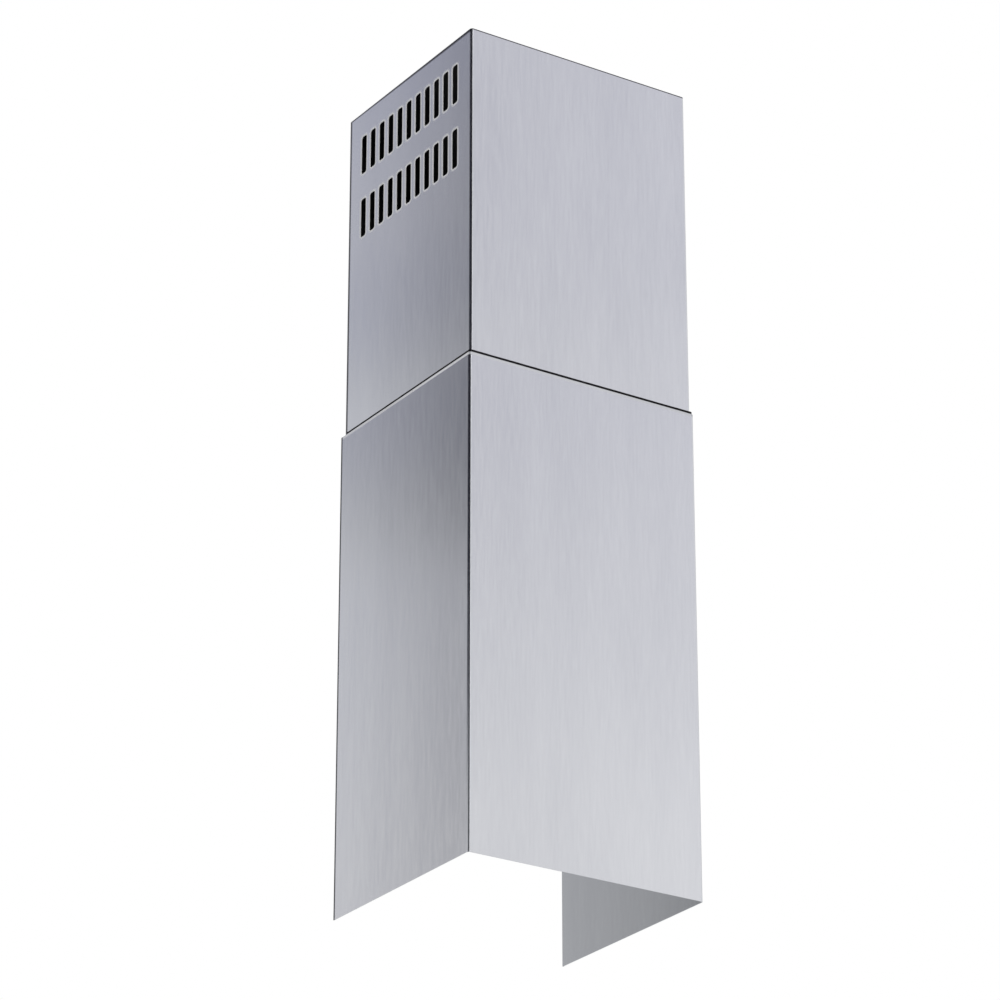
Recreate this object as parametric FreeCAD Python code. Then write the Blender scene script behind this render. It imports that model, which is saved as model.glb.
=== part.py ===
import FreeCAD, Part
import math
import os

# Telescoping chimney cover of a wall-mounted cooker hood, in millimetres.
# X runs across the front, Y towards the wall, Z up; the origin is the middle of the foot of the lower cover.

# Covers: two sheets folded to a U, open at the wall, the upper one sliding inside the lower one
cover_width = 250.0
cover_depth = 225.0
lower_height = 480.0
upper_height = 410.0
overlap = 70.0  # of the two covers when fully drawn out
sheet = 0.8
bend_radius = 2.0  # inside a fold
slide_gap = 1.5  # between the lower cover's inside and the upper cover's outside
flange_width = 14.0  # return flange along the upper cover's back

# Vent slots in both sides of the upper cover
slot_width = 9.0
slot_length = 41.0
slot_corner = 2.5
slot_pitch = 16.4
slots_in_row = 11
slot_rows = 2
row_pitch = 69.0
slot_top_margin = 27.0  # cover's top edge to the first row

# Felt tape inside the lower cover's top edge
glide_clearance = 0.3
felt_height = 15.0
felt_proud = 3.0  # above the cover's edge
felt_fold_radius = 0.3
felt_margin = 8.0  # its ends to the lower cover's back

# Air deflector, a moulded T-piece with an outlet towards each side
deflector_width = 180.0
deflector_wall = 2.5
deflector_corner = 6.0
spigot_diameter = 149.0
spigot_length = 40.0
vane_width = 104.0  # wedge that splits the air, at its top
vane_depth = 75.0
vane_tip_radius = 4.0
tab_width = 26.0
tab_height = 13.0
tab_corner = 5.0

# Sleeves that carry the outlets out to the slots
sleeve_wall = 2.0
sleeve_clearance = 0.3
sleeve_engagement = 18.0
sleeve_rim = 4.0
outlet_margin = 4.0  # round the field of slots
cover_clearance = 0.6  # sleeve's rim to the cover

# Wall bracket
bracket_sheet = 1.5
bracket_radius = 1.5
bracket_height = 44.0
bracket_web = 110.0  # raised middle
riser_run = 8.0
web_margin = 7.0  # screw axis to the bracket's top edge
wall_slot_spacing = 160.0
wall_slot_width = 5.5
wall_slot_length = 12.0
hook_width = 6.0
hook_height = 9.0
hook_drop = 6.0  # below the plate
hook_margin = 1.0  # plate beside the hook
hang_clearance = 0.5  # between flange and hook

# Screws between deflector and bracket
screw_spacing = 60.0
screw_length = 8.0
screw_diameter = 4.0
screw_clearance = 0.1  # round the shank
head_diameter = 7.6
head_height = 2.6

# Places that follow from them
front = -cover_depth / 2
wall = cover_depth / 2
lower_half = cover_width / 2
inset = sheet + slide_gap
upper_half = lower_half - inset
upper_front = front + inset
upper_back = wall - bracket_sheet - hang_clearance
upper_bottom = lower_height - overlap
upper_top = upper_bottom + upper_height
felt = slide_gap - glide_clearance

slots_span = (slots_in_row - 1) * slot_pitch + slot_width
slots_rise = (slot_rows - 1) * row_pitch + slot_length
slots_y = (upper_front + upper_back) / 2
slots_top = upper_top - slot_top_margin
slots_z = slots_top - slots_rise / 2

sleeve_depth = slots_span + 2 * outlet_margin + 2 * sleeve_wall
sleeve_rise = slots_rise + 2 * outlet_margin + 2 * sleeve_wall
sleeve_end = upper_half - sheet - cover_clearance
deflector_depth = sleeve_depth + 2 * sleeve_clearance + 2 * deflector_wall
deflector_rise = sleeve_rise + 2 * sleeve_clearance + 2 * deflector_wall
deflector_back = slots_y + deflector_depth / 2
deflector_top = slots_z + deflector_rise / 2
deflector_bottom = slots_z - deflector_rise / 2
opening_corner = deflector_corner - deflector_wall

screw_z = deflector_top + tab_height / 2
screw_hole = screw_diameter + 2 * screw_clearance
plate_top = screw_z + web_margin
plate_bottom = plate_top - bracket_height
web_back = deflector_back + bracket_sheet
hook_x = upper_half - (flange_width + sheet + bend_radius) / 2
hook_gap = sheet + 2 * hang_clearance
hook_front = wall - 2 * bracket_sheet - hook_gap
hook_bottom = plate_bottom - hook_drop
hook_floor = hook_bottom + bracket_sheet

up = FreeCAD.Vector(0, 0, 1)
right = FreeCAD.Vector(1, 0, 0)
inward = FreeCAD.Vector(0, 1, 0)
tiny = 1e-6


def plan(x, y):
    return FreeCAD.Vector(x, y, 0)


def side(y, z):
    return FreeCAD.Vector(0, y, z)


def face_on(x, z):
    return FreeCAD.Vector(x, 0, z)


# A run of straight lines whose inner corners are rounded
def rounded_run(points, radii):
    edges = []
    start = points[0]
    for before, corner, after, radius in zip(points, points[1:], points[2:], radii):
        into = (corner - before).normalize()
        away = (after - corner).normalize()
        half_turn = into.getAngle(away) / 2
        reach = radius * math.tan(half_turn)
        first, last = corner - into * reach, corner + away * reach
        if (first - start).Length > tiny:
            edges.append(Part.makeLine(start, first))
        if radius > tiny:
            middle = corner + (away - into).normalize() * (radius / math.cos(half_turn) - radius)
            edges.append(Part.Arc(first, middle, last).toShape())
        start = last
    if (points[-1] - start).Length > tiny:
        edges.append(Part.makeLine(start, points[-1]))
    return edges


# Section of a sheet folded along a path, with its thickness on the left of the path
def folded_section(path, normal, thickness, radii):
    runs = [(b - a).normalize() for a, b in zip(path, path[1:])]
    lefts = [normal.cross(run) for run in runs]
    corners = list(zip(path[1:-1], lefts, lefts[1:]))
    other = [path[0] + lefts[0] * thickness]
    other += [at + (m + n) * (thickness / (1 + m.dot(n))) for at, m, n in corners]
    other += [path[-1] + lefts[-1] * thickness]
    turns_left = [normal.dot(a.cross(b)) > 0 for a, b in zip(runs, runs[1:])]
    path_radii = [r + thickness if left else r for r, left in zip(radii, turns_left)]
    other_radii = [r if left else r + thickness for r, left in zip(radii, turns_left)]
    edges = rounded_run(path, path_radii)
    edges.append(Part.makeLine(path[-1], other[-1]))
    edges += rounded_run(other[::-1], other_radii[::-1])
    edges.append(Part.makeLine(other[0], path[0]))
    return Part.Face(Part.Wire(edges))


# Closed outline with a rounding at each point
def rounded_outline(points, radii):
    begin = (points[-1] + points[0]) * 0.5
    return Part.Face(Part.Wire(rounded_run([begin] + points + [begin], radii)))


# Rectangle about a centre, which full rounding turns into a slot
def rectangle(place, u, v, size_u, size_v, radius):
    signs = ((1, -1), (1, 1), (-1, 1), (-1, -1))
    corners = [place(u + a * size_u / 2, v + b * size_v / 2) for a, b in signs]
    return rounded_outline(corners, [radius] * len(corners))


# A section swept along an axis between two places on it
def swept(section, axis, start, end):
    return section.translated(axis * start).extrude(axis * (end - start))


def mirrored(shape):
    return shape.mirror(FreeCAD.Vector(0, 0, 0), right)


def lower_cover():
    left = [plan(-lower_half, wall), plan(-lower_half, front)]
    path = left + [plan(-p.x, p.y) for p in reversed(left)]
    return swept(folded_section(path, up, sheet, [bend_radius] * 2), up, 0, lower_height)


def vent_slots():
    slots = []
    for row in range(slot_rows):
        z = slots_top - slot_length / 2 - row * row_pitch
        for column in range(slots_in_row):
            y = slots_y + (column - (slots_in_row - 1) / 2) * slot_pitch
            outline = rectangle(side, y, z, slot_width, slot_length, slot_corner)
            slots.append(swept(outline, right, -lower_half, lower_half))
    return slots


def hanging_slots():
    width = hook_width + 2 * hang_clearance
    height = hook_height + 2 * hang_clearance
    outline = rectangle(face_on, hook_x, hook_floor - height / 2, width, height, hang_clearance)
    slot = swept(outline, inward, 0, wall)
    return [slot, mirrored(slot)]


def upper_cover():
    left = [
        plan(flange_width - upper_half, upper_back),
        plan(-upper_half, upper_back),
        plan(-upper_half, upper_front),
    ]
    path = left + [plan(-p.x, p.y) for p in reversed(left)]
    section = folded_section(path, up, sheet, [bend_radius] * 4)
    cover = swept(section, up, upper_bottom, upper_top)
    return cover.cut(vent_slots() + hanging_slots()).removeSplitter()


def felt_tape():
    tape_half = lower_half - sheet
    tape_front = front + sheet
    tape_back = wall - felt_margin
    left = [plan(-tape_half, tape_back), plan(-tape_half, tape_front)]
    path = left + [plan(-p.x, p.y) for p in reversed(left)]
    fold_radius = max(bend_radius - felt, felt_fold_radius)
    section = folded_section(path, up, felt, [fold_radius] * 2)
    tape_top = lower_height + felt_proud
    return swept(section, up, tape_top - felt_height, tape_top)


# Wedge under the deflector's top, with its faces moved out by a wall thickness
def vane_wedge(grown):
    half = vane_width / 2
    slope = math.atan2(vane_depth, half)
    top_half = half + grown / math.sin(slope)
    tip = deflector_top - vane_depth - grown / math.cos(slope)
    points = [face_on(-top_half, deflector_top), face_on(0, tip), face_on(top_half, deflector_top)]
    outline = rounded_outline(points, [0, vane_tip_radius + grown, 0])
    reach = deflector_depth / 2 - deflector_wall
    return swept(outline, inward, slots_y - reach, slots_y + reach)


def deflector_tab():
    z = deflector_top + tab_height / 2 - tab_corner
    outline = rectangle(face_on, screw_spacing / 2, z, tab_width, tab_height + 2 * tab_corner, tab_corner)
    hole = rectangle(face_on, screw_spacing / 2, screw_z, screw_hole, screw_hole, screw_hole / 2)
    return swept(outline.cut(hole), inward, deflector_back - deflector_wall, deflector_back)


def air_deflector():
    end = deflector_width / 2
    outside = rectangle(side, slots_y, slots_z, deflector_depth, deflector_rise, deflector_corner)
    body = swept(outside, right, -end, end)
    opening_depth = deflector_depth - 2 * deflector_wall
    opening_rise = deflector_rise - 2 * deflector_wall
    opening = rectangle(side, slots_y, slots_z, opening_depth, opening_rise, opening_corner)
    air_way = swept(opening, right, -end, end).cut(vane_wedge(deflector_wall))
    foot = deflector_bottom - spigot_length
    centre = FreeCAD.Vector(0, slots_y, foot)
    spigot = Part.makeCylinder(spigot_diameter / 2, spigot_length + deflector_wall, centre)
    bore = Part.makeCylinder(spigot_diameter / 2 - deflector_wall, spigot_length + deflector_wall, centre)
    tab = deflector_tab()
    solid = body.fuse([spigot, tab, mirrored(tab)])
    return solid.cut([air_way, vane_wedge(0), bore]).removeSplitter()


def outlet_sleeve():
    corner = opening_corner - sleeve_clearance
    begin = deflector_width / 2 - sleeve_engagement
    outside = rectangle(side, slots_y, slots_z, sleeve_depth, sleeve_rise, corner)
    rim_depth, rim_rise = sleeve_depth + 2 * sleeve_rim, sleeve_rise + 2 * sleeve_rim
    rim = rectangle(side, slots_y, slots_z, rim_depth, rim_rise, corner + sleeve_rim)
    inner_depth, inner_rise = sleeve_depth - 2 * sleeve_wall, sleeve_rise - 2 * sleeve_wall
    inside = rectangle(side, slots_y, slots_z, inner_depth, inner_rise, 0)
    tube = swept(outside, right, begin, sleeve_end)
    collar = swept(rim, right, sleeve_end - sleeve_wall, sleeve_end)
    return tube.fuse(collar).cut(swept(inside, right, begin, sleeve_end)).removeSplitter()


def bracket_plate():
    ear = hook_x + hook_width / 2 + hook_margin
    half_web = bracket_web / 2
    half = [plan(ear, wall), plan(half_web + riser_run, wall), plan(half_web, web_back)]
    path = half + [plan(-p.x, p.y) for p in reversed(half)]
    section = folded_section(path, up, bracket_sheet, [bracket_radius] * 4)
    return swept(section, up, plate_bottom, plate_top)


def bracket_hook():
    path = [
        side(hook_front, hook_bottom + hook_height),
        side(hook_front, hook_bottom),
        side(wall, hook_bottom),
        side(wall, plate_top),
    ]
    section = folded_section(path, right, bracket_sheet, [hang_clearance] * 2)
    return swept(section, right, hook_x - hook_width / 2, hook_x + hook_width / 2)


def wall_bracket():
    hook = bracket_hook()
    z = (plate_top + plate_bottom) / 2
    x = wall_slot_spacing / 2
    wall_slot = rectangle(face_on, x, z, wall_slot_length, wall_slot_width, wall_slot_width / 2)
    screw = rectangle(face_on, screw_spacing / 2, screw_z, screw_hole, screw_hole, screw_hole / 2)
    punches = [swept(outline, inward, 0, wall) for outline in (wall_slot, screw)]
    blank = bracket_plate().fuse([hook, mirrored(hook)])
    return blank.cut(punches + [mirrored(punch) for punch in punches]).removeSplitter()


def deflector_screw():
    head = Part.makeCylinder(head_diameter / 2, head_height, inward * -head_height, inward)
    shank = Part.makeCylinder(screw_diameter / 2, screw_length, FreeCAD.Vector(0, 0, 0), inward)
    seat = FreeCAD.Vector(screw_spacing / 2, deflector_back - deflector_wall, screw_z)
    return head.fuse(shank).translated(seat)


def main():
    sleeve = outlet_sleeve()
    screw = deflector_screw()
    nodes = {
        "lower_cover": lower_cover(),
        "felt_tape": felt_tape(),
        "upper_cover": upper_cover(),
        "wall_bracket": wall_bracket(),
        "air_deflector": air_deflector(),
        "outlet_sleeve_right": sleeve,
        "outlet_sleeve_left": mirrored(sleeve),
        "deflector_screws": Part.makeCompound([screw, mirrored(screw)]),
    }
    os.makedirs("parts", exist_ok=True)
    for name, shape in nodes.items():
        shape.exportStep("parts/" + name + ".step")
        print(name, shape.isValid(), len(shape.Solids), round(shape.Volume, 1))


main()
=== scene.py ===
import math

import bpy
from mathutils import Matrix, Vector


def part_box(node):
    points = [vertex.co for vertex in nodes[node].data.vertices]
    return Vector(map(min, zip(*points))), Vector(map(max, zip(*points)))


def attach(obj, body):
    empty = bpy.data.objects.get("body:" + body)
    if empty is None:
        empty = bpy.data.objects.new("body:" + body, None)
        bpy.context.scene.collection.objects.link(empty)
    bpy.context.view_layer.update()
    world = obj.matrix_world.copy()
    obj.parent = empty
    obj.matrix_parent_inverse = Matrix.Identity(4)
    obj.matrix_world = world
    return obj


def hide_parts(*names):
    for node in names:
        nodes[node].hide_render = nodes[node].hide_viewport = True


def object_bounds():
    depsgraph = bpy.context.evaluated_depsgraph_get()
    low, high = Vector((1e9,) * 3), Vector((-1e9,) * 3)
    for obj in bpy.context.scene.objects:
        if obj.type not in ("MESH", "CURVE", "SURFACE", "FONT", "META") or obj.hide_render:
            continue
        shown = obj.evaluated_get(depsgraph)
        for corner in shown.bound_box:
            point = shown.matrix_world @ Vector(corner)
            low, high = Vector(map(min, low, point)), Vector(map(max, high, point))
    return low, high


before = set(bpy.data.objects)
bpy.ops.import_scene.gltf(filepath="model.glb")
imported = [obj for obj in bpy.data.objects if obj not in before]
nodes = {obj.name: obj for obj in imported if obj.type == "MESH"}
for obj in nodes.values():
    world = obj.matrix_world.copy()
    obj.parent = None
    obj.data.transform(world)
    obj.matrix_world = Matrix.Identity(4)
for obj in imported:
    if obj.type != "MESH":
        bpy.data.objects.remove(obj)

mm = 0.001
scene = bpy.context.scene
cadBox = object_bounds()
print("frame loaded with", len(nodes), "nodes")

sliver = 0.01 * mm             # places closer than this count as the same
facing = 0.5                   # a face looks along an axis if its normal has more than this of it


# sRGB hex value to the linear colour that a shader takes
def linear(hexValue):
    parts = [int(hexValue[i:i + 2], 16) / 255 for i in (1, 3, 5)]
    return [c / 12.92 if c <= 0.04045 else ((c + 0.055) / 1.055) ** 2.4 for c in parts] + [1.0]


# adds one node: settings by name, inputs by socket, each a value or another node's output
# gives the node's first live output; a Mix node's sockets are 0 for the share, 6 and 7 for the colours
def addNode(tree, kind, inputs=None, **settings):
    node = tree.nodes.new(kind)
    for name, value in settings.items():
        setattr(node, name, value)
    for socket, value in (inputs or {}).items():
        if isinstance(value, bpy.types.NodeSocket):
            tree.links.new(value, node.inputs[socket])
        else:
            node.inputs[socket].default_value = value
    return next((out for out in node.outputs if out.enabled), None)


# an empty material, its node tree and the coordinates that its patterns can lie in
def newMaterial(name):
    material = bpy.data.materials.new(name)
    material.use_nodes = True
    tree = material.node_tree
    tree.nodes.clear()
    return material, tree, addNode(tree, "ShaderNodeTexCoord").node.outputs


# principled shader into the output
def finishMaterial(tree, inputs):
    shader = addNode(tree, "ShaderNodeBsdfPrincipled", inputs)
    addNode(tree, "ShaderNodeOutputMaterial", {"Surface": shader})


def dress(obj, material):
    obj.data.materials.clear()
    obj.data.materials.append(material)


# 1 for what the eye, the metal and clear things see, 0 for light on matt surfaces
def seenShare(tree):
    path = addNode(tree, "ShaderNodeLightPath").node.outputs
    seen = path["Is Camera Ray"]
    for ray in ("Is Glossy Ray", "Is Transmission Ray"):
        seen = addNode(tree, "ShaderNodeMath", {0: seen, 1: path[ray]}, operation="MAXIMUM")
    return seen


# everything off, then the faces or edges that a test picks, in edit mode
def pickFaces(obj, test):
    bpy.ops.object.mode_set(mode="EDIT")
    bpy.ops.mesh.select_mode(type="FACE")
    bpy.ops.mesh.select_all(action="DESELECT")
    bpy.ops.object.mode_set(mode="OBJECT")
    for face in obj.data.polygons:
        face.select = test(face)
    bpy.ops.object.mode_set(mode="EDIT")


def pickEdges(obj, test):
    bpy.ops.object.mode_set(mode="EDIT")
    bpy.ops.mesh.select_mode(type="EDGE")
    bpy.ops.mesh.select_all(action="DESELECT")
    bpy.ops.object.mode_set(mode="OBJECT")
    points = obj.data.vertices
    for edge in obj.data.edges:
        edge.select = test(points[edge.vertices[0]].co, points[edge.vertices[1]].co)
    bpy.ops.object.mode_set(mode="EDIT")


# a modifier added with its settings and applied at once
def applyModifier(obj, kind, **settings):
    modifier = obj.modifiers.new(kind.lower(), kind)
    for name, value in settings.items():
        setattr(modifier, name, value)
    bpy.context.view_layer.objects.active = obj
    bpy.ops.object.modifier_apply(modifier=modifier.name)


# a primitive's place, turn and size go into its mesh
def settle(name):
    obj = bpy.context.object
    obj.name = name
    bpy.ops.object.transform_apply(location=True, rotation=True, scale=True)
    return obj


brushedStainless = {
    "dark": "#c6c7cd",
    "light": "#d6d7db",
    "millDark": "#a2a4a8",        # unground inner side
    "millLight": "#b0b2b5",
    "rim": "#fafafb",             # painted highlight on the slot edges and the lip, matt and bright
    "rimRoughness": 0.6,
    "rimMatt": 1.0,               # share of the painted highlight that is matt white instead of mirroring
    "cut": "#34343a",             # painted shade: dark line along the back and top edges
    "cutSolid": 0.4,              # share of its width that is full dark
    "cutBack": 3.2 * mm,          # its width along the back edges of the sides
    "cutTop": (4.4 * mm, 2.2 * mm),  # along the upper cover's top, at the front and the back of its sides
    "cutFront": 1.5 * mm,         # along the top of its front
    "fold": 2.8 * mm,             # outer radius of the bends
    # real grit lines are near 0.1 mm wide, drawn coarser so that they show
    "grain": (2.0 * mm, 4.0 * mm, 26 * mm),
    "streak": (14 * mm, 14 * mm, 500 * mm),
    "cloud": (45 * mm, 45 * mm, 170 * mm),
    "detail": {"grain": 2.0, "streak": 3.0, "cloud": 4.0},
    "grainShare": (0.7, 1.2),     # of the front and of the sides, in the swing from dark to light
    "streakShare": 0.27,
    "cloudShare": 0.67,
    "grainDepth": 0.02 * mm,
    "halfSheet": 0.4 * mm,
    "roughness": (0.20, 0.27),
    "anisotropy": 0.5,
}

noiseMiddle = 0.5
noiseRange = (0.25, 0.75)         # where nearly all of a noise lies

# thin sheet is never quite flat: it bows, and its sides stand a little off square
sheetBow = {
    "height": 6.0 * mm,
    "across": 2.2 * mm,
    "splay": {"lower_cover": 1.2, "upper_cover": -2.4},  # degrees
}

# top edge of the lower cover, turned out a little to clear the tape; its slope also sets how bright the
# painted highlight on the lip is
turnedLip = {
    "width": 2.5 * mm,
    "slope": 0.65,                # at the front of the sides
    "slopeBehind": 0.2,
}

ventSlots = {
    "width": 9 * mm,
    "length": 41 * mm,
    "corner": 2.5 * mm,
    "pitch": 16.4 * mm,
    "inRow": 11,
    "rowPitch": 69 * mm,
    "rows": 2,
    "middle": 0.15 * mm,          # of a row, along Y
    "topMargin": 27 * mm,
    # width of the painted highlight round each slot
    "rim": 3.4 * mm,
}


# how far the sheet stands proud of flat, falling from the middle of each face outwards
def bowHeight(tree, axes, node):
    s = sheetBow
    low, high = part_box(node)
    bow = 0.0
    for axis, rise in ((0, s["across"]), (1, s["across"]), (2, s["height"])):
        part = addNode(tree, "ShaderNodeMapRange", {
            "Value": axes[axis], "From Min": low[axis], "From Max": high[axis],
            "To Min": -1.0, "To Max": 1.0})
        square = addNode(tree, "ShaderNodeMath", {0: part, 1: 2.0}, operation="POWER")
        fall = addNode(tree, "ShaderNodeMath", {0: square, 1: rise}, operation="MULTIPLY")
        bow = addNode(tree, "ShaderNodeMath", {0: bow, 1: fall}, operation="SUBTRACT")
    slope = math.tan(math.radians(s["splay"][node]))
    lean = addNode(tree, "ShaderNodeMath", {0: axes[1], 1: slope}, operation="MULTIPLY")
    return addNode(tree, "ShaderNodeMath", {0: bow, 1: lean}, operation="ADD")


# mask of the painted edge shade: 1 at an edge, down to 0 at the given width from it
def nearEdge(tree, value, edge, width):
    share = brushedStainless["cutSolid"]
    start = addNode(tree, "ShaderNodeMath", {0: edge, 1: width}, operation="SUBTRACT")
    inner = addNode(tree, "ShaderNodeMath", {0: width, 1: share}, operation="MULTIPLY")
    solid = addNode(tree, "ShaderNodeMath", {0: edge, 1: inner}, operation="SUBTRACT")
    return addNode(tree, "ShaderNodeMapRange", {
        "Value": value, "From Min": start, "From Max": solid}, interpolation_type="SMOOTHSTEP")


# 1 at the edge of the nearest vent slot, down to 0 where its painted highlight ends
def slotPaintedHighlight(tree, axes, top):
    s = ventSlots
    half = s["inRow"] // 2
    topRow = top - s["topMargin"] - s["length"] / 2
    rows = (
        (axes[1], s["middle"], s["pitch"], half, half, s["width"]),
        (axes[2], topRow, s["rowPitch"], s["rows"] - 1, 0, s["length"]),
    )
    square = 0.0
    for value, middle, pitch, before, after, size in rows:
        along = addNode(tree, "ShaderNodeMath", {0: value, 1: middle}, operation="SUBTRACT")
        steps = (
            # number of the nearest slot, then how far its middle is
            ("DIVIDE", pitch), ("ROUND", 0.0), ("MINIMUM", after), ("MAXIMUM", -before),
            ("MULTIPLY", pitch), ("SUBTRACT", along), ("ABSOLUTE", 0.0),
            # how far that is past its straight part, squared
            ("SUBTRACT", size / 2 - s["corner"]), ("MAXIMUM", 0.0), ("POWER", 2.0),
        )
        part = along
        for operation, operand in steps:
            part = addNode(tree, "ShaderNodeMath", {0: part, 1: operand}, operation=operation)
        square = addNode(tree, "ShaderNodeMath", {0: square, 1: part}, operation="ADD")
    away = addNode(tree, "ShaderNodeMath", {0: square}, operation="SQRT")
    return addNode(tree, "ShaderNodeMapRange", {
        "Value": away, "From Min": s["corner"], "From Max": s["corner"] + s["rim"],
        "To Min": 1.0, "To Max": 0.0}, interpolation_type="SMOOTHSTEP")


# sides and front of a cover: 1 within half a sheet of its box, 0 elsewhere
def outerFaces(tree, axes, low, high):
    skin = brushedStainless["halfSheet"]
    away = addNode(tree, "ShaderNodeMath", {0: axes[0]}, operation="ABSOLUTE")
    side = addNode(tree, "ShaderNodeMath", {0: away, 1: high.x - skin}, operation="GREATER_THAN")
    front = addNode(tree, "ShaderNodeMath", {0: axes[1], 1: low.y + skin}, operation="LESS_THAN")
    return side, front


# the ground lines, and how light they leave the steel with its streaks and clouds
def groundTone(tree, place, side):
    s = brushedStainless
    frontShare, sideShare = s["grainShare"]
    grainShare = addNode(tree, "ShaderNodeMapRange", {
        "Value": side, "To Min": frontShare, "To Max": sideShare})
    shares = {"grain": grainShare, "streak": s["streakShare"], "cloud": s["cloudShare"]}
    noises = {}
    tone = noiseMiddle
    for name, share in shares.items():
        scaled = addNode(tree, "ShaderNodeMapping", {
            "Vector": place, "Scale": [1 / length for length in s[name]]})
        noises[name] = addNode(tree, "ShaderNodeTexNoise", {
            "Vector": scaled, "Scale": 1.0, "Detail": s["detail"][name]})
        swing = addNode(tree, "ShaderNodeMath", {0: noises[name], 1: noiseMiddle}, operation="SUBTRACT")
        part = addNode(tree, "ShaderNodeMath", {0: swing, 1: share}, operation="MULTIPLY")
        tone = addNode(tree, "ShaderNodeMath", {0: tone, 1: part}, operation="ADD")
    return noises["grain"], tone


# marks give the painted highlight, the painted shade line on the sides and on the front, and the lip's height
# upper cover: painted highlights round its slots, painted shade lines along its back and top edges, no lip
def upperMarks(tree, axes, low, high):
    s = brushedStainless
    rim = slotPaintedHighlight(tree, axes, high.z)
    width = addNode(tree, "ShaderNodeMapRange", {
        "Value": axes[1], "From Min": low.y, "From Max": high.y,
        "To Min": s["cutTop"][0], "To Max": s["cutTop"][1]})
    back = nearEdge(tree, axes[1], high.y - s["fold"], s["cutBack"])
    top = nearEdge(tree, axes[2], high.z, width)
    sideEdgeShade = addNode(tree, "ShaderNodeMath", {0: back, 1: top}, operation="MAXIMUM")
    frontEdgeShade = nearEdge(tree, axes[2], high.z, s["cutFront"])
    return rim, sideEdgeShade, frontEdgeShade, 0.0


# lower cover: its turned lip, painted white as a highlight, and a painted shade line along its back edges
def lowerMarks(tree, axes, low, high):
    s = turnedLip
    slope = addNode(tree, "ShaderNodeMapRange", {
        "Value": axes[1], "From Min": low.y, "From Max": high.y,
        "To Min": s["slope"], "To Max": s["slopeBehind"]})
    past = addNode(tree, "ShaderNodeMath", {0: axes[2], 1: high.z - s["width"]}, operation="SUBTRACT")
    over = addNode(tree, "ShaderNodeMath", {0: past, 1: 0.0}, operation="MAXIMUM")
    lip = addNode(tree, "ShaderNodeMath", {0: over, 1: slope}, operation="MULTIPLY")
    onLip = addNode(tree, "ShaderNodeMath", {0: over, 1: 0.0}, operation="GREATER_THAN")
    rim = addNode(tree, "ShaderNodeMath", {0: onLip, 1: slope}, operation="MULTIPLY")
    sideEdgeShade = nearEdge(tree, axes[1], high.y, brushedStainless["cutBack"])
    return rim, sideEdgeShade, 0.0, lip


# ground outside and unground inside, with the painted highlights and the painted shade lines
def steelColour(tree, tone, rim, cut, outside):
    s = brushedStainless
    ground, mill = [
        addNode(tree, "ShaderNodeMix", {0: tone, 6: linear(s[dark]), 7: linear(s[light])}, data_type="RGBA")
        for dark, light in (("dark", "light"), ("millDark", "millLight"))]
    rimmed = addNode(tree, "ShaderNodeMix", {0: rim, 6: ground, 7: linear(s["rim"])}, data_type="RGBA")
    lined = addNode(tree, "ShaderNodeMix", {0: cut, 6: rimmed, 7: linear(s["cut"])}, data_type="RGBA")
    return addNode(tree, "ShaderNodeMix", {0: outside, 6: mill, 7: lined}, data_type="RGBA")


# how rough the ground lines and the painted highlights leave the steel
def steelRoughness(tree, grain, rim):
    s = brushedStainless
    rough = addNode(tree, "ShaderNodeMapRange", {
        "Value": grain, "From Min": noiseRange[0], "From Max": noiseRange[1],
        "To Min": s["roughness"][0], "To Max": s["roughness"][1]})
    sanded = addNode(tree, "ShaderNodeMath", {0: rim, 1: s["rimRoughness"]}, operation="MULTIPLY")
    return addNode(tree, "ShaderNodeMath", {0: rough, 1: sanded}, operation="MAXIMUM")


# stainless sheet ground along its height: soft reflections drawn out sideways,
# fine upright lines, faint clouds
def makeBrushedStainless(name, node, marks):
    s = brushedStainless
    low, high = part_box(node)
    material, tree, places = newMaterial(name)
    place = places["Object"]
    axes = addNode(tree, "ShaderNodeSeparateXYZ", {"Vector": place}).node.outputs
    side, front = outerFaces(tree, axes, low, high)
    grain, tone = groundTone(tree, place, side)

    rim, sideEdgeShade, frontEdgeShade, lip = marks(tree, axes, low, high)
    rim = addNode(tree, "ShaderNodeMath", {0: side, 1: rim}, operation="MULTIPLY")
    sideEdgeShade = addNode(tree, "ShaderNodeMath", {0: side, 1: sideEdgeShade}, operation="MULTIPLY")
    frontEdgeShade = addNode(tree, "ShaderNodeMath", {0: front, 1: frontEdgeShade}, operation="MULTIPLY")
    cut = addNode(tree, "ShaderNodeMath", {0: sideEdgeShade, 1: frontEdgeShade}, operation="MAXIMUM")
    outside = addNode(tree, "ShaderNodeMath", {0: side, 1: front}, operation="MAXIMUM")
    matt = addNode(tree, "ShaderNodeMath", {0: rim, 1: s["rimMatt"]}, operation="MULTIPLY")

    bow = bowHeight(tree, axes, node)
    height = addNode(tree, "ShaderNodeMath", {0: bow, 1: lip}, operation="ADD")
    bowed = addNode(tree, "ShaderNodeBump", {"Height": height, "Strength": 1.0, "Distance": 1.0})
    finishMaterial(tree, {
        "Base Color": steelColour(tree, tone, rim, cut, outside),
        "Metallic": addNode(tree, "ShaderNodeMath", {0: 1.0, 1: matt}, operation="SUBTRACT"),
        "Roughness": steelRoughness(tree, grain, rim),
        "Anisotropic": s["anisotropy"],
        "Tangent": addNode(tree, "ShaderNodeTangent", direction_type="RADIAL", axis="Z"),
        "Normal": addNode(tree, "ShaderNodeBump", {
            "Height": grain, "Strength": 1.0, "Distance": s["grainDepth"], "Normal": bowed}),
    })
    return material


dress(nodes["lower_cover"], makeBrushedStainless("brushedStainlessLower", "lower_cover", lowerMarks))
dress(nodes["upper_cover"], makeBrushedStainless("brushedStainlessUpper", "upper_cover", upperMarks))
print("covers dressed in brushed stainless")


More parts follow.
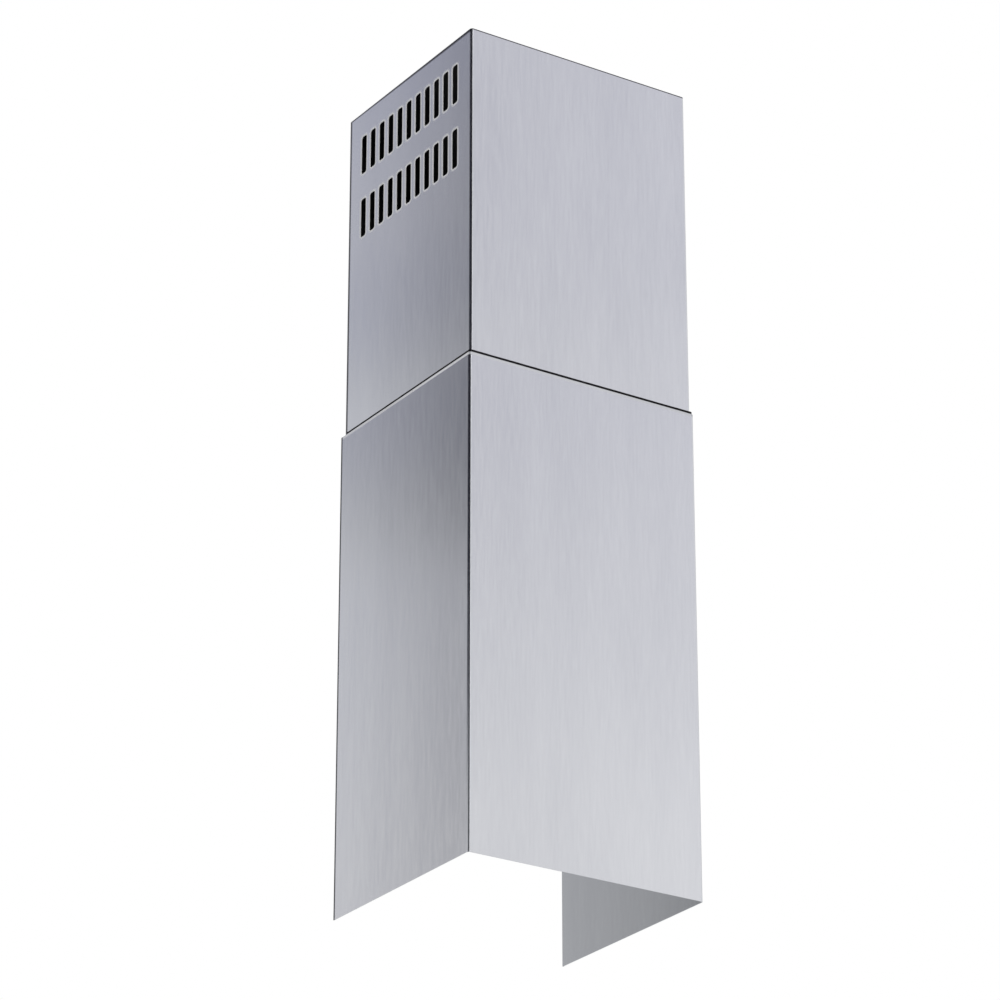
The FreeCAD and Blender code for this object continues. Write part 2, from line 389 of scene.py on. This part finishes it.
mouldedAbs = {
    "dark": "#0b0b0c",
    "light": "#19191b",
    "grain": 0.9 * mm,            # real mould grain is near 0.2 mm, drawn coarser so that it shows
    "grainDetail": 2.0,
    "grainDepth": 0.02 * mm,
    "flow": 45 * mm,
    "flowDetail": 3.0,
    "roughness": (0.42, 0.62),
    "ior": 1.53,
}


# black ABS from a spark-eroded mould: an even fine grain, half matt, with faint flow shading
def makeMouldedAbs():
    s = mouldedAbs
    material, tree, places = newMaterial("mouldedBlackAbs")
    grain = addNode(tree, "ShaderNodeTexNoise", {
        "Vector": places["Object"], "Scale": 1 / s["grain"], "Detail": s["grainDetail"]})
    flow = addNode(tree, "ShaderNodeTexNoise", {
        "Vector": places["Object"], "Scale": 1 / s["flow"], "Detail": s["flowDetail"]})
    finishMaterial(tree, {
        "Base Color": addNode(tree, "ShaderNodeMix", {
            0: flow, 6: linear(s["dark"]), 7: linear(s["light"])}, data_type="RGBA"),
        "Roughness": addNode(tree, "ShaderNodeMapRange", {
            "Value": flow, "To Min": s["roughness"][0], "To Max": s["roughness"][1]}),
        "IOR": s["ior"],
        "Normal": addNode(tree, "ShaderNodeBump", {"Height": grain, "Distance": s["grainDepth"]}),
    })
    return material


blackAbs = makeMouldedAbs()
for name in ("air_deflector", "outlet_sleeve_left", "outlet_sleeve_right"):
    dress(nodes[name], blackAbs)


zincPlate = {
    "dark": "#9a9ca0",
    "light": "#c9cbcd",
    "straw": "#c4bfae",
    "strawShare": 0.35,           # at most
    "cloud": 14 * mm,
    "cloudDetail": 4.0,
    "fine": 1.2 * mm,
    "fineDetail": 2.0,
    "fineDepth": 0.01 * mm,
    "roughness": (0.28, 0.5),
}


# bracket steel, zinc plated and passivated: cloudy satin with a faint straw tint
def makeZincPlate():
    s = zincPlate
    material, tree, places = newMaterial("zincPlatedSteel")
    cloud = addNode(tree, "ShaderNodeTexNoise", {
        "Vector": places["Object"], "Scale": 1 / s["cloud"], "Detail": s["cloudDetail"]})
    fine = addNode(tree, "ShaderNodeTexNoise", {
        "Vector": places["Object"], "Scale": 1 / s["fine"], "Detail": s["fineDetail"]})
    grey = addNode(tree, "ShaderNodeMix", {
        0: cloud, 6: linear(s["dark"]), 7: linear(s["light"])}, data_type="RGBA")
    tint = addNode(tree, "ShaderNodeMapRange", {"Value": fine, "To Max": s["strawShare"]})
    finishMaterial(tree, {
        "Base Color": addNode(tree, "ShaderNodeMix", {
            0: tint, 6: grey, 7: linear(s["straw"])}, data_type="RGBA"),
        "Metallic": 1.0,
        "Roughness": addNode(tree, "ShaderNodeMapRange", {
            "Value": cloud, "To Min": s["roughness"][0], "To Max": s["roughness"][1]}),
        "Normal": addNode(tree, "ShaderNodeBump", {"Height": fine, "Distance": s["fineDepth"]}),
    })
    return material


dress(nodes["wall_bracket"], makeZincPlate())
print("plastic and bracket dressed")


seamShadeFelt = {
    "dark": "#050506",
    "light": "#141416",
    "fibre": 0.8 * mm,            # a tuft of fibres, single ones are too fine to show
    "fibreDetail": 5.0,
    "tangle": 1.5,
    "depth": 0.2 * mm,
    "roughness": 0.95,
    "specular": 0.2,
}


# needled polyester felt, made matt black as the painted shade of the seam between the covers, with stray
# lighter fibres
def makeSeamShadeFelt():
    s = seamShadeFelt
    material, tree, places = newMaterial("blackFeltAsSeamShade")
    fibre = addNode(tree, "ShaderNodeTexNoise", {
        "Vector": places["Object"], "Scale": 1 / s["fibre"],
        "Detail": s["fibreDetail"], "Distortion": s["tangle"]})
    finishMaterial(tree, {
        "Base Color": addNode(tree, "ShaderNodeMix", {
            0: fibre, 6: linear(s["dark"]), 7: linear(s["light"])}, data_type="RGBA"),
        "Roughness": s["roughness"],
        "Specular IOR Level": s["specular"],
        "Normal": addNode(tree, "ShaderNodeBump", {"Height": fibre, "Distance": s["depth"]}),
    })
    return material


seamShadeFeltTape = {
    "thickness": 1.2 * mm,
    "fold": 2.0 * mm,             # round the cover's inner bends
    "foldSteps": 6,
    "longEdge": 50 * mm,          # edges longer than this are divided
    "columns": 90,
    "rimRound": 0.35 * mm,
    "rimSteps": 3,
    "rimAngle": 60,               # degrees
    "waviness": 0.25 * mm,
    "waveSize": 5 * mm,
    "smoothAngle": 40,            # degrees
}


# strip of felt run round the inside of the lower cover's top edge, cut a little unevenly; its black stands in
# for the painted shade of the seam
def makeSeamShadeFeltTape():
    s = seamShadeFeltTape
    low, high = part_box("felt_tape")
    bpy.ops.object.select_all(action="DESELECT")
    bpy.ops.mesh.primitive_cube_add(size=1, location=(low + high) / 2)
    bpy.context.object.scale = high - low
    tape = settle("seamShadeFeltStrip")
    pickFaces(tape, lambda face: face.normal.y > facing or abs(face.normal.z) > facing)
    bpy.ops.mesh.delete(type="FACE")
    pickEdges(tape, lambda a, b: abs(a.z - b.z) > mm and a.y < low.y + mm)
    bpy.ops.mesh.bevel(offset=s["fold"], segments=s["foldSteps"])
    pickEdges(tape, lambda a, b: abs(a.z - b.z) < mm and (a - b).length > s["longEdge"])
    bpy.ops.mesh.subdivide(number_cuts=s["columns"])
    bpy.ops.object.mode_set(mode="OBJECT")
    applyModifier(tape, "SOLIDIFY", thickness=s["thickness"], offset=-1.0)
    applyModifier(
        tape, "BEVEL", width=s["rimRound"], segments=s["rimSteps"],
        limit_method="ANGLE", angle_limit=math.radians(s["rimAngle"]))
    wave = bpy.data.textures.new("feltWave", "CLOUDS")
    wave.noise_scale = s["waveSize"]
    applyModifier(
        tape, "DISPLACE", texture=wave, texture_coords="LOCAL",
        strength=s["waviness"], mid_level=1.0)
    bpy.ops.object.shade_smooth_by_angle(angle=math.radians(s["smoothAngle"]))
    dress(tape, makeSeamShadeFelt())
    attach(tape, "lower_section")
    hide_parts("felt_tape")
    return tape


tape = makeSeamShadeFeltTape()
print("felt tape made,", len(tape.data.polygons), "faces")


brightZinc = {
    "dark": "#a8abb0",
    "light": "#d4d6d8",
    "spot": 1.5 * mm,
    "spotDetail": 3.0,
    "roughness": (0.15, 0.35),
}


# bright zinc on cold-headed screws: shiny, slightly uneven
def makeBrightZinc():
    s = brightZinc
    material, tree, places = newMaterial("brightZincScrew")
    spot = addNode(tree, "ShaderNodeTexNoise", {
        "Vector": places["Object"], "Scale": 1 / s["spot"], "Detail": s["spotDetail"]})
    finishMaterial(tree, {
        "Base Color": addNode(tree, "ShaderNodeMix", {
            0: spot, 6: linear(s["dark"]), 7: linear(s["light"])}, data_type="RGBA"),
        "Metallic": 1.0,
        "Roughness": addNode(tree, "ShaderNodeMapRange", {
            "Value": spot, "To Min": s["roughness"][0], "To Max": s["roughness"][1]}),
    })
    return material


deflectorScrew = {
    "headHeight": 2.6 * mm,
    "headRound": 1.5 * mm,
    "headSides": 48,
    "headSteps": 6,
    "core": 1.5 * mm,             # radius of the shank
    "crest": 2.0 * mm,            # radius over the thread
    "shankSides": 24,
    "pitch": 1.4 * mm,
    "threadSteps": 20,            # in a turn
    "point": 2.0 * mm,
    "pointTaper": 0.2,
    "crossSpan": 4.4 * mm,
    "crossWidth": 1.0 * mm,
    "crossDepth": 1.5 * mm,
    "crossTaper": 0.6,
    "smoothAngle": 35,            # degrees
}
lyingAlongY = (math.radians(90), 0, 0)


# where the right-hand screw is, from the box of the pair; its head is to the front
def screwPlace():
    low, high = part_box("deflector_screws")
    radius = (high.z - low.z) / 2
    seat = low.y + deflectorScrew["headHeight"]
    return {
        "x": high.x - radius,
        "z": (low.z + high.z) / 2,
        "radius": radius,
        "front": low.y,
        "seat": seat,
        "straight": high.y - deflectorScrew["point"] - seat,
        "tip": high.y,
    }


# pan head, rounded at the front
def makeScrewHead(at):
    s = deflectorScrew
    bpy.ops.object.select_all(action="DESELECT")
    bpy.ops.mesh.primitive_cylinder_add(
        vertices=s["headSides"], radius=at["radius"], depth=s["headHeight"],
        location=(at["x"], at["seat"] - s["headHeight"] / 2, at["z"]), rotation=lyingAlongY)
    head = settle("deflectorScrewRight")
    pickEdges(head, lambda a, b: max(a.y, b.y) < at["front"] + sliver)
    bpy.ops.mesh.bevel(offset=s["headRound"], segments=s["headSteps"])
    bpy.ops.object.mode_set(mode="OBJECT")
    return head


# cross recess, narrower towards its floor
def cutCrossRecess(head, at):
    s = deflectorScrew
    taper = s["crossTaper"]
    floorMiddle = (at["x"], at["front"] + s["crossDepth"], at["z"])
    for turn in (0, 90):
        bpy.ops.object.select_all(action="DESELECT")
        bpy.ops.mesh.primitive_cube_add(
            size=1, location=(at["x"], at["front"], at["z"]), rotation=(0, math.radians(turn), 0))
        bpy.context.object.scale = (s["crossSpan"], 2 * s["crossDepth"], s["crossWidth"])
        blade = settle("recessBlade")
        pickFaces(blade, lambda face: face.normal.y > facing)
        bpy.ops.transform.resize(value=(taper, 1, taper), center_override=floorMiddle)
        bpy.ops.object.mode_set(mode="OBJECT")
        applyModifier(head, "BOOLEAN", object=blade, operation="DIFFERENCE", solver="EXACT")
        bpy.data.objects.remove(blade)


# shank drawn out to a point
def makeScrewShank(at):
    s = deflectorScrew
    taper = s["pointTaper"]
    bpy.ops.object.select_all(action="DESELECT")
    bpy.ops.mesh.primitive_cylinder_add(
        vertices=s["shankSides"], radius=s["core"], depth=at["straight"],
        location=(at["x"], at["seat"] + at["straight"] / 2, at["z"]), rotation=lyingAlongY)
    shank = settle("screwShank")
    pickFaces(shank, lambda face: face.normal.y > facing)
    bpy.ops.mesh.extrude_region_move(TRANSFORM_OT_translate={"value": (0, s["point"], 0)})
    bpy.ops.transform.resize(value=(taper, 1, taper), center_override=(at["x"], at["tip"], at["z"]))
    bpy.ops.object.mode_set(mode="OBJECT")
    return shank


# rolled thread: a tooth's section carried round and along the shank
def makeScrewThread(at):
    s = deflectorScrew
    tooth = (s["crest"] - s["core"]) / 1.5  # a triangle is 1.5 times as high as its radius
    bpy.ops.object.select_all(action="DESELECT")
    bpy.ops.mesh.primitive_circle_add(vertices=3, radius=tooth, rotation=(0, 0, math.radians(-90)))
    thread = settle("screwThread")
    bpy.ops.object.mode_set(mode="EDIT")
    bpy.ops.mesh.select_all(action="SELECT")
    bpy.ops.transform.translate(value=(s["crest"] - tooth, 0, 0))
    bpy.ops.object.mode_set(mode="OBJECT")
    applyModifier(
        thread, "SCREW", axis="Y", angle=math.radians(360), screw_offset=s["pitch"],
        iterations=math.floor(at["straight"] / s["pitch"]), steps=s["threadSteps"])
    thread.location = (at["x"], at["seat"] + s["pitch"] / 2, at["z"])
    return settle("screwThread")


# the parts of the screw made one mesh, with its faces outwards
def joinScrew(head, shank, thread):
    bpy.ops.object.select_all(action="DESELECT")
    for part in (head, shank, thread):
        part.select_set(True)
    bpy.context.view_layer.objects.active = head
    bpy.ops.object.join()
    bpy.ops.object.mode_set(mode="EDIT")
    bpy.ops.mesh.select_all(action="SELECT")
    bpy.ops.mesh.normals_make_consistent(inside=False)
    bpy.ops.object.mode_set(mode="OBJECT")
    bpy.ops.object.shade_smooth_by_angle(angle=math.radians(deflectorScrew["smoothAngle"]))


# pan-head screws with a cross recess and a rolled thread, one each side
def makeDeflectorScrews():
    at = screwPlace()
    screw = makeScrewHead(at)
    cutCrossRecess(screw, at)
    joinScrew(screw, makeScrewShank(at), makeScrewThread(at))
    bpy.ops.object.duplicate(linked=False)
    bpy.ops.transform.translate(value=(-2 * at["x"], 0, 0))
    other = settle("deflectorScrewLeft")
    zinc = makeBrightZinc()
    for piece in (screw, other):
        dress(piece, zinc)
        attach(piece, "upper_section")
        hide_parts("deflector_screws")


makeDeflectorScrews()
print("deflector screws made")


# lengths in metres
studio = {
    "floorHeight": -1.45,
    "floorSize": 40.0,
    "floorDark": "#e8e9eb",
    "floorLight": "#eeeff0",
    "floorCloud": 0.667,
    "floorDetail": 2.0,
    "floorRoughness": 0.8,
    "floorGlow": 0.65,            # share of it that is plain white to the eye, the rest keeps the shadow
    "floorFade": (1.0, 9.0),      # from here to here the floor turns all white
    "white": "#ffffff",
    "fill": 0.55,                 # strength of the white as light on the matt parts
}


# pale floor, far below because the cover hangs on a wall
def makeFloor():
    s = studio
    bpy.ops.object.select_all(action="DESELECT")
    bpy.ops.mesh.primitive_plane_add(size=s["floorSize"], location=(0, 0, s["floorHeight"]))
    floor = settle("studioFloor")
    material, tree, places = newMaterial("paleFloor")
    cloud = addNode(tree, "ShaderNodeTexNoise", {
        "Vector": places["Object"], "Scale": 1 / s["floorCloud"], "Detail": s["floorDetail"]})
    shade = addNode(tree, "ShaderNodeMix", {
        0: cloud, 6: linear(s["floorDark"]), 7: linear(s["floorLight"])}, data_type="RGBA")
    paper = addNode(tree, "ShaderNodeBsdfPrincipled", {"Base Color": shade, "Roughness": s["floorRoughness"]})
    white = addNode(tree, "ShaderNodeEmission", {"Color": linear(s["white"]), "Strength": 1.0})
    away = addNode(tree, "ShaderNodeVectorMath", {0: places["Object"]}, operation="LENGTH")
    glow = addNode(tree, "ShaderNodeMapRange", {
        "Value": away, "From Min": s["floorFade"][0], "From Max": s["floorFade"][1],
        "To Min": s["floorGlow"], "To Max": 1.0}, interpolation_type="SMOOTHSTEP")
    share = addNode(tree, "ShaderNodeMath", {0: seenShare(tree), 1: glow}, operation="MULTIPLY")
    both = addNode(tree, "ShaderNodeMixShader", {0: share, 1: paper, 2: white})
    addNode(tree, "ShaderNodeOutputMaterial", {"Surface": both})
    dress(floor, material)


# white to the eye and in the metal, softer as light on the matt parts
def makeWorld():
    s = studio
    world = bpy.data.worlds.new("whiteStudio")
    scene.world = world
    world.use_nodes = True
    tree = world.node_tree
    tree.nodes.clear()
    strength = addNode(tree, "ShaderNodeMapRange", {
        "Value": seenShare(tree), "To Min": s["fill"], "To Max": 1.0})
    ground = addNode(tree, "ShaderNodeBackground", {"Color": linear(s["white"]), "Strength": strength})
    addNode(tree, "ShaderNodeOutputWorld", {"Surface": ground})


# standing grey cards that give the steel its shape, lengths in metres; only the metal sees them
# shades run from the foot up at the heights given, and strengths from one side of the card to the other
cards = {
    "leftLowCard": {
        "azimuth": -33, "distance": 3.0, "width": 2.8, "foot": 0.2, "top": 1.65,
        "strengths": (0.66, 1.30),
        "shades": ((0.7, "#eeeeef"), (1.65, "#e2e3e7")),
    },
    "leftHighCard": {
        "azimuth": -33, "distance": 3.0, "width": 2.8, "foot": 1.65, "top": 7.0,
        "strengths": (0.41, 1.54),
        "shades": (
            (1.65, "#d0d1d2"), (2.05, "#b0b2bc"), (2.3, "#babbc2"), (2.9, "#a6a8b5"), (7.0, "#a6a8b5")),
    },
    "edgeCard": {
        "azimuth": -108, "distance": 3.0, "width": 9.0, "foot": 0.95, "top": 4.2,
        "strengths": (1.0, 1.0),
        "shades": ((0.95, "#8a8b92"), (1.5, "#30303a"), (4.2, "#30303a")),
    },
    "edgeFootCard": {
        "azimuth": -135, "distance": 3.0, "width": 1.8, "foot": 0.35, "top": 0.95,
        "strengths": (1.0, 1.0),
        "shades": ((0.35, "#30303a"), (0.95, "#30303a")),
    },
    "edgeStrip": {
        "azimuth": -173, "distance": 3.0, "width": 0.9, "foot": 0.75, "top": 4.2,
        "strengths": (1.5, 1.5),
        "shades": ((0.75, "#ffffff"), (4.2, "#ffffff")),
    },
    "leftSideCard": {
        "azimuth": -90, "distance": 2.9, "width": 5.0, "foot": -1.4, "top": 0.95,
        "strengths": (0.85, 1.05),
        "shades": ((-0.7, "#bcbdc3"), (0.1, "#e0e1e4"), (0.95, "#fafafb")),
    },
    "rightSideCard": {
        "azimuth": 90, "distance": 2.9, "width": 5.0, "foot": -1.4, "top": 2.4,
        "strengths": (0.85, 1.05),
        "shades": ((-0.7, "#bcbdc3"), (0.1, "#e0e1e4"), (0.9, "#fafafb"), (2.4, "#ffffff")),
    },
    "frontCard": {
        "azimuth": 147, "distance": 3.0, "width": 3.6, "foot": 0.2, "top": 6.0,
        "strengths": (1.12, 0.93),
        "shades": ((0.8, "#ffffff"), (1.6, "#f2f2f5"), (2.25, "#e8e8ee"), (6.0, "#e8e8ee")),
    },
}
cardFade = (0.25, 0.75)           # shares of a card's width between which its strength changes


# lit card: soft bands of grey that the steel draws out
def makeCardPaper(name):
    s = cards[name]
    material, tree, places = newMaterial(name + "Paper")
    sheet = addNode(tree, "ShaderNodeSeparateXYZ", {"Vector": places["UV"]}).node.outputs
    shade = addNode(tree, "ShaderNodeValToRGB", {"Fac": sheet[1]})
    ramp = shade.node.color_ramp
    ramp.interpolation = "EASE"
    while len(ramp.elements) < len(s["shades"]):
        ramp.elements.new(1.0)
    for element, (level, colour) in zip(ramp.elements, s["shades"]):
        element.position = (level - s["foot"]) / (s["top"] - s["foot"])
        element.color = linear(colour)
    strength = addNode(tree, "ShaderNodeMapRange", {
        "Value": sheet[0], "From Min": cardFade[0], "From Max": cardFade[1],
        "To Min": s["strengths"][0], "To Max": s["strengths"][1]})
    glow = addNode(tree, "ShaderNodeEmission", {"Color": shade, "Strength": strength})
    addNode(tree, "ShaderNodeOutputMaterial", {"Surface": glow})
    return material


def makeCard(name):
    s = cards[name]
    a = math.radians(s["azimuth"])
    middle = (math.sin(a) * s["distance"], math.cos(a) * s["distance"], (s["foot"] + s["top"]) / 2)
    bpy.ops.object.select_all(action="DESELECT")
    bpy.ops.mesh.primitive_plane_add(size=1, location=middle, rotation=(math.radians(90), 0, -a))
    bpy.context.object.scale = (s["width"], s["top"] - s["foot"], 1)
    card = settle(name)
    dress(card, makeCardPaper(name))
    card.visible_camera = False
    card.visible_diffuse = False
    card.visible_transmission = False
    card.visible_shadow = False


softBox = {"azimuth": 165, "elevation": 40, "distance": 3.0, "size": 1.6, "power": 70}


# soft light on the matt parts; kept out of the metal, which has the cards
def makeSoftBox():
    s = softBox
    a, e = math.radians(s["azimuth"]), math.radians(s["elevation"])
    aim = Vector((math.sin(a) * math.cos(e), math.cos(a) * math.cos(e), math.sin(e)))
    middle = (Vector(cadBox[0]) + Vector(cadBox[1])) / 2
    bpy.ops.object.light_add(type="AREA", location=middle + aim * s["distance"])
    lamp = bpy.context.object
    lamp.name = "softBox"
    lamp.rotation_euler = aim.to_track_quat("Z", "Y").to_euler()
    lamp.data.size = s["size"]
    lamp.data.energy = s["power"]
    lamp.visible_glossy = False


makeFloor()
makeWorld()
for name in cards:
    makeCard(name)
makeSoftBox()
print("studio set")


viewpoint = {
    "place": (-2.0081, -3.0506, -1.2214),
    "yaw": 33.1103,
    "pitch": 23.9922,
    "lens": 153.70,
    "sensor": 36,
    "reach": 100,                 # metres that it sees
}


def makeCamera():
    s = viewpoint
    bpy.ops.object.camera_add(location=s["place"])
    camera = bpy.context.object
    camera.rotation_euler = (math.radians(90 + s["pitch"]), 0, -math.radians(s["yaw"]))
    camera.data.sensor_width = s["sensor"]
    camera.data.lens = s["lens"]
    camera.data.clip_end = s["reach"]
    scene.camera = camera


makeCamera()
scene.view_settings.view_transform = "Standard"
print("camera set")
